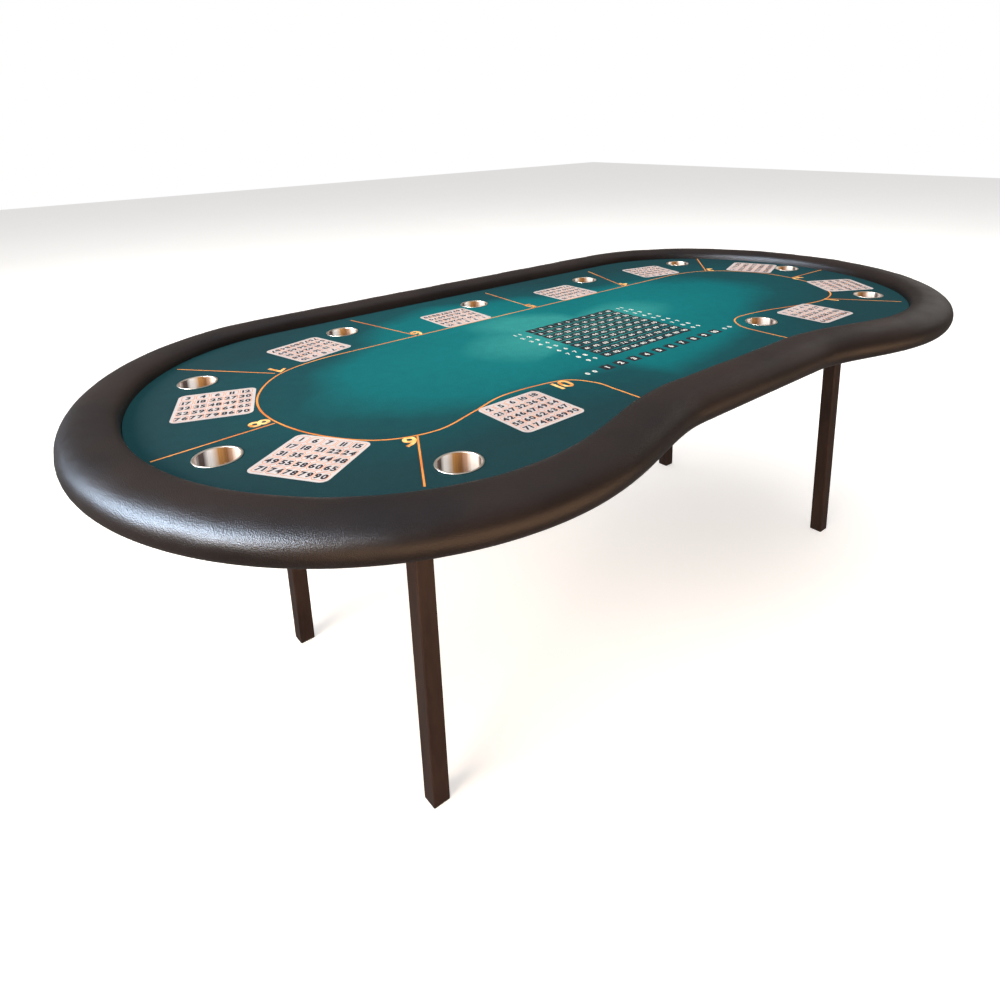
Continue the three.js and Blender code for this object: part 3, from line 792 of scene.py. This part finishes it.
def make_staples():
    """The staples that hold the flap of the vinyl to the base panel, all round."""
    line = outline(FLAP_OUT + STAPLE_OUT, STAPLES)
    _, along = resampled(line, STAPLES, closed=True)
    sides, rings = 6, [-1.0, -0.93, 0.93, 1.0]      # the two end rings are thin and turned up
    vertices, faces = [], []
    z = FELT_TOP + RAIL_BOTTOM_UP - 1.0 * MM
    for (x, y), (tx, ty) in zip(line, along):
        first = len(vertices)
        for ring in rings:
            thick = STAPLE_WIRE * (0.35 if abs(ring) == 1.0 else 1.0)
            lift = 0.6 * MM if abs(ring) == 1.0 else 0.0
            for k in range(sides):
                angle = 2 * math.pi * k / sides
                sideways = thick * math.cos(angle)
                vertices.append((x + tx * ring * STAPLE_HALF - ty * sideways,
                                 y + ty * ring * STAPLE_HALF + tx * sideways,
                                 z + lift + thick * math.sin(angle)))
        for r in range(len(rings) - 1):
            for k in range(sides):
                a = first + r * sides + k
                b = first + r * sides + (k + 1) % sides
                faces.append((a, b, b + sides, a + sides))
        faces.append([first + k for k in range(sides)])
        faces.append([first + (len(rings) - 1) * sides + k for k in range(sides)])
    staples = add_object("vinyl_staples", mesh_from("vinyl_staples", vertices, faces), [ZINC])
    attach(staples, "table_top")


# ---------------------------------------------------------------- printed cloth
def cup_centre(number):
    low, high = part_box(f"cup_{number}")
    return (low + high) / 2


def make_cloth():
    """The cloth with its cup holes, its flat size and its area."""
    edge = outline(CLOTH_EDGE_OUT, 360)
    holes = [circle(c.x, c.y, CUP_HOLE_RADIUS) for c in map(cup_centre, range(1, CUPS + 1))]
    sheet = Layer()
    sheet.add(*flat_fill([edge, *holes]))
    cloth = sheet.build("printed_cloth", FELT_BOTTOM, FELT_TOP, FELT)
    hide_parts("printed_felt")
    x, y = edge[:, 0], edge[:, 1]
    area = abs(np.dot(x, np.roll(y, -1)) - np.dot(y, np.roll(x, -1))) / 2
    area -= CUPS * math.pi * CUP_HOLE_RADIUS**2
    return cloth, (float(np.ptp(y)), float(np.ptp(x))), float(area)


# (x, y) in print units from the print's middle, with the turn in radians for cards and numbers.
# Seats run anticlockwise from the dealer's right hand.
CARDS = [
    (3.36, -2.18, -0.01), (5.70, -1.41, 1.0), (6.047, 0.896, 0.392), (4.135, 2.315, -0.234 + math.pi),
    (1.363, 2.217, math.pi), (-1.363, 2.217, math.pi), (-4.135, 2.315, 0.234 - math.pi),
    (-6.047, 0.896, -0.392), (-5.78, -1.44, -1.0), (-3.21, -2.10, 0.01),
]
SEAT_NUMBERS = [
    (4.45, -1.91, 0.35), (5.73, -0.44, 1.55), (5.21, 1.45, 2.4), (2.75, 1.85, 2.9),
    (0.14, 1.88, math.pi), (-2.41, 1.85, -2.9), (-4.94, 1.68, -2.4), (-5.85, -0.12, -1.55),
    (-4.79, -1.85, -0.45), (-2.31, -1.71, 0.0),
]
DIVIDERS = [
    ((5.18, -2.89), (4.45, -1.77)), ((6.91, -0.38), (5.65, -0.345)), ((6.16, 2.56), (5.05, 1.45)),
    ((3.16, 3.36), (2.59, 1.71)), ((0.18, 3.38), (0.09, 1.71)), ((-2.84, 3.44), (-2.49, 1.71)),
    ((-6.0, 2.77), (-5.0, 1.545)), ((-7.12, -0.345), (-5.71, -0.255)), ((-5.23, -2.86), (-4.64, -1.77)),
]
RACETRACK = [
    (-1.93, -2.75), (-1.93, -2.30), (-1.95, -1.95), (-2.23, -1.58), (-3.11, -1.46), (-3.75, -1.64),
    (-4.40, -1.80), (-5.05, -1.55), (-5.52, -0.85), (-5.70, 0.0), (-5.55, 0.75), (-5.05, 1.40),
    (-4.35, 1.68), (-3.40, 1.71), (0.0, 1.71), (3.60, 1.71), (4.35, 1.68), (5.05, 1.40),
    (5.55, 0.75), (5.70, 0.0), (5.50, -0.90), (5.00, -1.58), (4.40, -1.80), (3.75, -1.72),
    (2.91, -1.47), (2.14, -1.39), (1.76, -1.70), (1.69, -2.10), (1.68, -2.75),
]
# the number grid, and the single row on the dealer's side of it
GRID_COLUMNS, GRID_ROWS = 10, 9
GRID_LEFT, GRID_TOP = -0.955, 0.527
GRID_PITCH = (0.2045, 0.219)
SQUARE = 0.19
GRID_MARKERS = (-1.28, 1.195)
ROW_Y, ROW_LEFT, ROW_PITCH = -1.636, -1.38, 0.283
ROW_MARKERS = (-1.705, 1.50)


def on_table(x, y):
    """A place in the print, in metres on the table."""
    return PRINT_MIDDLE.x + PRINT_UNIT * x, PRINT_MIDDLE.y + PRINT_UNIT * y


def make_cards():
    """Ten pale cards of numbered cells, one to a seat, with made-up numbers."""
    cards, cells, digits = Layer(), Layer(), Layer()
    middle = CELLS // 2
    outer = rounded_box(24.8 * MM, 24.6 * MM, 5 * MM, 5)
    inner = rounded_box(22.4 * MM, 22.4 * MM, 4 * MM, 5)
    for seat, (across, along, angle) in enumerate(CARDS, 1):
        x, y = on_table(across, along)
        cards.polygon(placed(rounded_box(CARD_WIDTH, CARD_HEIGHT, CARD_CORNER), x, y, angle))
        numbers = sorted(random.Random(seat).sample(range(1, HIGHEST_NUMBER + 1), CELLS * CELLS))
        for index, number in enumerate(numbers):
            row, column = divmod(index, CELLS)
            cell = ((column - middle) * CELL_PITCH[0], (middle - row) * CELL_PITCH[1])
            (cx, cy), = placed([cell], x, y, angle)
            cells.ring(placed(outer, cx, cy, angle), placed(inner, cx, cy, angle))
            digits.text(str(number), CARD_NUMBER_HEIGHT, cx, cy, angle, weight=0.045)
    return [
        ink(cards, "player_cards", 2, CARD_INK),
        ink(cells, "card_cells", 3, CELL_INK),
        ink(digits, "card_numbers", 3, DIGIT_INK),
    ]


def ink(layer, name, level, material):
    """A layer as a piece; a higher level lies over a lower one."""
    low = FELT_TOP + (level - 1) * INK_STEP * 0.5
    return layer.build(name, low, FELT_TOP + level * INK_STEP, material)


def make_lines():
    """The betting line, the lines between seats, and the seats' numbers."""
    lines, numbers = Layer(), Layer()
    track = smooth_line([on_table(x, y) for x, y in RACETRACK])
    lines.band(track, LINE_WIDTH)
    for start, end in DIVIDERS:
        lines.band(np.array([on_table(*start), on_table(*end)]), LINE_WIDTH * 0.9)
    for seat, (x, y, angle) in enumerate(SEAT_NUMBERS, 1):
        numbers.text(str(seat), SEAT_NUMBER_HEIGHT, *on_table(x, y), angle, weight=0.02)
    return [
        ink(lines, "betting_lines", 1, GOLD_INK),
        ink(numbers, "seat_numbers", 2, SEAT_INK),
    ]


def make_centre_grid():
    """Dark squares with the numbers from 1 to 90, and a row from 1 to 10, with numbers at their ends."""
    squares, numbers = Layer(), Layer()
    side = SQUARE * PRINT_UNIT
    block = rounded_box(side, side, 2.5 * MM, 4)
    for row in range(GRID_ROWS):
        gy = GRID_TOP - row * GRID_PITCH[1]
        for column in range(GRID_COLUMNS):
            x, y = on_table(GRID_LEFT + column * GRID_PITCH[0], gy)
            squares.polygon(placed(block, x, y, 0))
            number = str(row * GRID_COLUMNS + column + 1)
            numbers.text(number, GRID_NUMBER_HEIGHT, x, y, weight=0.035)
        for end in GRID_MARKERS:
            numbers.text(f"{row + 1}  {row + 1}", MARKER_HEIGHT, *on_table(end, gy), weight=0.05)
    for column in range(GRID_COLUMNS):
        x, y = on_table(ROW_LEFT + column * ROW_PITCH, ROW_Y)
        squares.polygon(placed(block, x, y, 0))
        squares.polygon(placed(rounded_box(5 * MM, 2.5 * MM, 1 * MM, 3), x, y + 17 * MM, 0))
        numbers.text(str(column + 1), ROW_NUMBER_HEIGHT, x, y, weight=0.05)
    for end in ROW_MARKERS:
        numbers.text("0  0", MARKER_HEIGHT, *on_table(end, ROW_Y), weight=0.05)
    return [
        ink(squares, "number_grid", 1, SQUARE_INK),
        ink(numbers, "grid_numbers", 2, PALE_INK),
    ]


def make_printed_cloth():
    cloth, flat, area = make_cloth()
    prints = [*make_lines(), *make_cards(), *make_centre_grid()]


# ---------------------------------------------------------------- cups
def cup_profile():
    """The cup's wall from the middle of its underside, over the rolled rim, to the middle of its floor."""
    low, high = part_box("cup_1")
    rim = (high.x - low.x) / 2
    depth = low.z - FELT_TOP
    top = high.z - FELT_TOP
    floor = depth + CUP_OUTSIDE - CUP_INSIDE
    roll, lip, bend = 0.7 * MM, 1.0 * MM, CUP_BOTTOM_ROUND
    profile = [(0, depth + 1 * MM), (20 * MM, depth + 0.8 * MM), (CUP_OUTSIDE - 5 * MM, depth)]
    profile += [tuple(p) for p in ellipse_arc(CUP_OUTSIDE - bend, depth + bend, bend, bend, -1, 0, 7)]
    profile += [(CUP_OUTSIDE, -20 * MM), (CUP_OUTSIDE, 0.3 * MM)]
    profile += [tuple(p) for p in ellipse_arc(rim - roll, 1.0 * MM, roll, roll, -1, 1, 9)]
    profile += [(rim - 1.6 * MM, top), (CUP_INSIDE + 1.2 * MM, top - 0.15 * MM)]
    profile += [tuple(p) for p in ellipse_arc(CUP_INSIDE + lip, top - 1.2 * MM, lip, lip, 1, 2, 6)]
    profile += [(CUP_INSIDE, -12 * MM), (CUP_INSIDE, -30 * MM), (CUP_INSIDE, -48 * MM)]
    profile += [tuple(p) for p in ellipse_arc(CUP_INSIDE - bend, floor + bend, bend, bend, 0, -1, 7)]
    for radius in (26, 25, 24, 14, 13, 12):       # two grooves turned in the floor, in millimetres
        groove = 0.5 * MM if radius in (25, 13) else 0.0
        profile.append((radius * MM, floor + groove))
    profile.append((0, floor))
    return profile


def make_cups():
    """Ten copies of one cup; its rim and the middle of its floor are turned, and its wall is polished, with
    painted reflections on it.
    """
    mesh = revolved("cup", cup_profile(), 96)
    mesh.materials.append(CUP_WALL_STEEL_AND_REFLECTIONS)
    mesh.materials.append(CUP_RIM_STEEL)
    for face in mesh.polygons:
        turned = face.center.z > -1.5 * MM or face.center.xy.length < 30 * MM
        face.material_index = 1 if turned else 0
    for number in range(1, CUPS + 1):
        centre = cup_centre(number)
        cup = add_object(f"steel_cup_{number}", mesh, location=(centre.x, centre.y, FELT_TOP))
        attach(cup, f"cup_{number}")
        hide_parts(f"cup_{number}")


# ---------------------------------------------------------------- CAD nodes that keep their shape
def finish_node(name, material, edge=0.0, segments=2):
    """A CAD node with its material and, where it has sharp edges, a small round on them."""
    node = nodes[name]
    node.data.materials.clear()
    node.data.materials.append(material)
    if edge:
        bevel = node.modifiers.new("Edge", "BEVEL")
        bevel.width = edge
        bevel.segments = segments
        bevel.limit_method = "ANGLE"
        bevel.angle_limit = math.radians(40)
        bevel.harden_normals = False


def finish_nodes():
    """The board, core, panel, legs, brackets, pins, knobs and bolts."""
    finish_node("rail_core", RAW_PLY)
    finish_node("playing_board", RAW_PLY)
    finish_node("foam_underlay", UNDERLAY)
    finish_node("base_panel", BLACK_PLY, 0.8 * MM)
    for name in nodes:
        if name.startswith("leg_tube"):
            finish_node(name, LEG_PAINT, 0.3 * MM)
        elif name.startswith("foot_plug"):
            finish_node(name, FOOT_PLASTIC, 0.6 * MM)
        elif name.startswith("leg_bracket"):
            finish_node(name, BRACKET_PAINT, 0.5 * MM)
        elif name.startswith("clamp_knob"):
            finish_node(name, KNOB_PLASTIC, 1.0 * MM, 3)
        elif name.startswith(("pivot_pin", "bracket_bolt", "rail_bolt")):
            finish_node(name, ZINC, 0.4 * MM)


# ---------------------------------------------------------------- floor, light and camera
def add_stage():
    """A pale floor, and a world that the camera sees as white and the table as a dim warm room."""
    mesh = bpy.data.meshes.new("floor")
    half = 14.0
    corners = [(-half, -half, 0), (half, -half, 0), (half, half, 0), (-half, half, 0)]
    mesh.from_pydata(corners, [], [(0, 1, 2, 3)])
    f = Finish("pale_floor", Roughness=0.8, Specular_IOR_Level=0.1, Emission_Strength=0.55)
    f.shader.inputs["Emission Color"].default_value = (1.0, 1.0, 1.0, 1.0)
    f.link(f.ramp(f.noise(1.5, 2.0), [(0.3, grey(0.86)), (0.7, grey(0.89))]), "Base Color")
    floor = add_object("floor", mesh, [f.material])
    floor.visible_glossy = False

    world = bpy.data.worlds.new("studio")
    world.use_nodes = True
    tree = world.node_tree
    room = tree.nodes["Background"]
    room.inputs["Color"].default_value = (1.0, 0.95, 0.90, 1.0)
    room.inputs["Strength"].default_value = 0.2
    backdrop = tree.nodes.new("ShaderNodeBackground")
    backdrop.inputs["Color"].default_value = (1.0, 1.0, 1.0, 1.0)
    seen = tree.nodes.new("ShaderNodeLightPath")
    either = tree.nodes.new("ShaderNodeMixShader")
    tree.links.new(seen.outputs["Is Camera Ray"], either.inputs[0])
    tree.links.new(room.outputs[0], either.inputs[1])
    tree.links.new(backdrop.outputs[0], either.inputs[2])
    tree.links.new(either.outputs[0], tree.nodes["World Output"].inputs["Surface"])
    bpy.context.scene.world = world
    bpy.context.scene.view_settings.view_transform = "Standard"


def add_softbox(name, place, aim, size, power, colour, lights="all"):
    """A rectangular lamp; lights is all, or only the diffuse or the glossy part of the finishes."""
    light = bpy.data.lights.new(name, "AREA")
    light.shape = "RECTANGLE"
    light.size, light.size_y = size
    light.energy = power
    light.color = colour
    lamp = bpy.data.objects.new(name, light)
    bpy.context.scene.collection.objects.link(lamp)
    lamp.location = place
    lamp.visible_camera = False
    lamp.visible_diffuse = lights != "glossy"
    lamp.visible_glossy = lights != "diffuse"
    lamp.rotation_mode = "QUATERNION"
    lamp.rotation_quaternion = (Vector(aim) - Vector(place)).to_track_quat("-Z", "Y")


def add_lights():
    left_end = (-1.1, -0.3, FELT_TOP)
    middle = (0.0, 0.0, FELT_TOP)
    blue, warm, cream, wood = (0.64, 0.80, 1.0), (1.0, 0.82, 0.66), (1.0, 0.97, 0.93), (1.0, 0.60, 0.34)
    add_softbox("window", (-3.44, 0.45, 2.25), left_end, (3.0, 1.1), 700, blue, "glossy")
    add_softbox("far_wall", (4.2, -0.6, 2.0), (0.4, -0.5, FELT_TOP), (3.0, 0.8), 10, cream, "glossy")
    add_softbox("sky", (0.3, 0.3, 4.6), middle, (6.5, 6.0), 70, blue, "glossy")
    add_softbox("left_wall", (-3.9, -0.6, 1.9), left_end, (2.4, 1.6), 190, warm)
    add_softbox("wood_floor", (-0.5, -2.0, 0.12), (-0.2, -0.5, FELT_TOP), (5.0, 0.9), 60, wood)
    add_softbox("ceiling", (0.3, 0.3, 4.6), middle, (6.5, 6.0), 690, cream, "diffuse")


def add_camera():
    """At eye height off the near-left lobe, looking along the table and slightly down."""
    data = bpy.data.cameras.new("camera")
    data.lens = 26.31
    data.shift_x = -0.033
    data.shift_y = -0.182
    camera = bpy.data.objects.new("camera", data)
    bpy.context.scene.collection.objects.link(camera)
    place = Vector((-1.2596, -1.3035, 1.2804))
    ahead = Vector((0.6429, 0.7659, 0)).normalized()
    pitch, roll = math.radians(15.33), -0.026
    forward = (ahead * math.cos(pitch) - Vector((0, 0, 1)) * math.sin(pitch)).normalized()
    level_right = forward.cross(Vector((0, 0, 1))).normalized()
    level_down = forward.cross(level_right)
    right = (level_right - roll * level_down).normalized()
    down = forward.cross(right)
    turned = Matrix((right, -down, -forward)).transposed().to_4x4()
    camera.matrix_world = Matrix.Translation(place) @ turned
    bpy.context.scene.camera = camera


# ---------------------------------------------------------------- build
add_camera()
add_stage()
add_lights()
make_rail()
make_staples()
make_printed_cloth()
make_cups()
finish_nodes()

bpy.context.view_layer.update()
